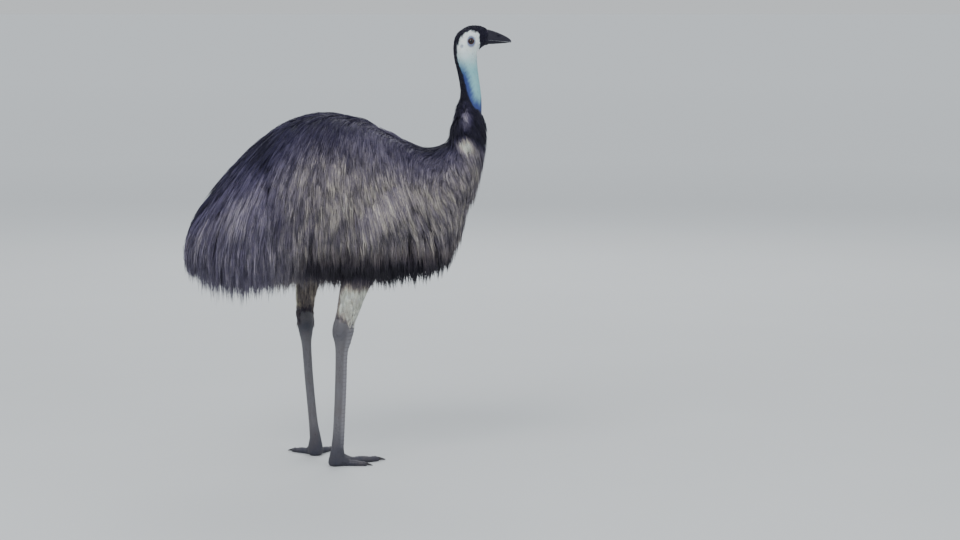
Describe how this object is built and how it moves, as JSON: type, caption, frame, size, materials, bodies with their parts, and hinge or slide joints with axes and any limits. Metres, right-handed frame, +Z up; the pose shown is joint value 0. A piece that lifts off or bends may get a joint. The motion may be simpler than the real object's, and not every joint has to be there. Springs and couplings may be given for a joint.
{
  "type": "emu",
  "caption": "Life-size standing emu with shaggy drooping plumage, a bare pale neck, folded stub wings and scaled feet.",
  "frame": {"origin": "on the floor below the middle of the whole bird", "axes": "+Z up, +X towards the bill, +Y towards the bird's left side"},
  "size_m": [1.0956, 0.5014, 1.4516],
  "materials": {
    "plumage": "matte, shaggy",
    "neck_plume": "matte, shaggy",
    "bare_skin": "matte",
    "bill": "semi-matte",
    "eye": "glossy",
    "scaly_skin": "matte, scaled",
    "claw": "semi-matte"
  },
  "bodies": {
    "root": {"bill_lower": "bill", "bill_upper": "bill", "claw_left_inner": "claw", "claw_left_middle": "claw", "claw_left_outer": "claw", "claw_right_inner": "claw", "claw_right_middle": "claw", "claw_right_outer": "claw", "eye_left": "eye", "eye_right": "eye", "foot_left": "scaly_skin", "foot_right": "scaly_skin", "head": "bare_skin", "neck_lower": "neck_plume", "neck_upper": "bare_skin", "shank_left": "scaly_skin", "shank_right": "scaly_skin", "tail": "plumage", "thigh_left": "plumage", "thigh_right": "plumage", "toe_left_inner": "scaly_skin", "toe_left_middle": "scaly_skin", "toe_left_outer": "scaly_skin", "toe_right_inner": "scaly_skin", "toe_right_middle": "scaly_skin", "toe_right_outer": "scaly_skin", "torso": "plumage", "wing_left": "plumage", "wing_right": "plumage"}
  },
  "joints": []
}
